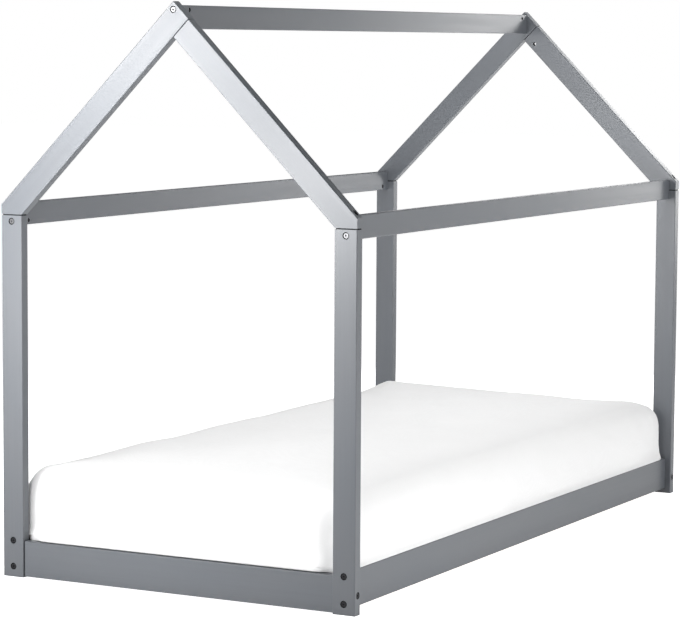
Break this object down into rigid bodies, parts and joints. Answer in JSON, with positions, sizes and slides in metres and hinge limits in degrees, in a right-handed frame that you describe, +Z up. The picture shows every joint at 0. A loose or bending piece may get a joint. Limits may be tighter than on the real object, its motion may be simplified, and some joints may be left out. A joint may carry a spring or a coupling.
{
  "type": "house-frame floor bed",
  "caption": "Child's floor bed shaped like a house: painted posts, rafters and rails bolted together around a slatted base, with a mattress in a fitted sheet.",
  "frame": {"origin": "on the floor under the middle of the bed", "axes": "+X to the right seen from the front end, +Y along the bed to the rear end, +Z up"},
  "size_m": [1.002, 2.06, 1.4399],
  "materials": {
    "painted_wood": "thin satin grey paint, with the grain just showing",
    "bare_wood": "planed, bare softwood",
    "bolt_steel": "dark zinc plating",
    "nut_steel": "bright zinc plating",
    "mattress_cover": "knitted mattress cover",
    "sheet_cotton": "smooth white cotton"
  },
  "bodies": {
    "frame": {"post_front_left": "painted_wood", "post_front_right": "painted_wood", "post_rear_left": "painted_wood", "post_rear_right": "painted_wood", "rafter_front_left": "painted_wood", "rafter_front_right": "painted_wood", "rafter_rear_left": "painted_wood", "rafter_rear_right": "painted_wood", "ridge_rail": "painted_wood", "eave_rail_left": "painted_wood", "eave_rail_right": "painted_wood", "side_rail_left": "painted_wood", "side_rail_right": "painted_wood", "end_rail_front": "painted_wood", "end_rail_rear": "painted_wood", "slat_ledge_left": "bare_wood", "slat_ledge_right": "bare_wood", "slat_01": "bare_wood", "slat_02": "bare_wood", "slat_03": "bare_wood", "slat_04": "bare_wood", "slat_05": "bare_wood", "slat_06": "bare_wood", "slat_07": "bare_wood", "slat_08": "bare_wood", "slat_09": "bare_wood", "slat_10": "bare_wood", "slat_11": "bare_wood", "slat_12": "bare_wood", "slat_13": "bare_wood", "slat_14": "bare_wood", "side_rail_bolts": "bolt_steel", "side_rail_barrel_nuts": "nut_steel", "end_rail_bolts": "bolt_steel", "end_rail_barrel_nuts": "nut_steel", "eave_rail_bolts": "bolt_steel", "eave_rail_barrel_nuts": "nut_steel", "ridge_bolts": "bolt_steel", "ridge_barrel_nuts": "nut_steel", "apex_bolts": "bolt_steel", "apex_barrel_nuts": "nut_steel", "end_rail_dowels": "bare_wood", "eave_rail_dowels": "bare_wood", "ridge_dowels": "bare_wood", "apex_dowels": "bare_wood", "rafter_foot_dowels": "bare_wood", "rafter_foot_screws": "bolt_steel", "ledge_screws": "nut_steel", "slat_screws": "nut_steel"},
    "mattress": {"mattress": "mattress_cover", "fitted_sheet": "sheet_cotton"}
  },
  "joints": [
    {"name": "mattress_lift", "type": "slide", "parent": "frame", "child": "mattress", "axis": [0, 0, 1], "range_m": [0, 0.25]}
  ]
}
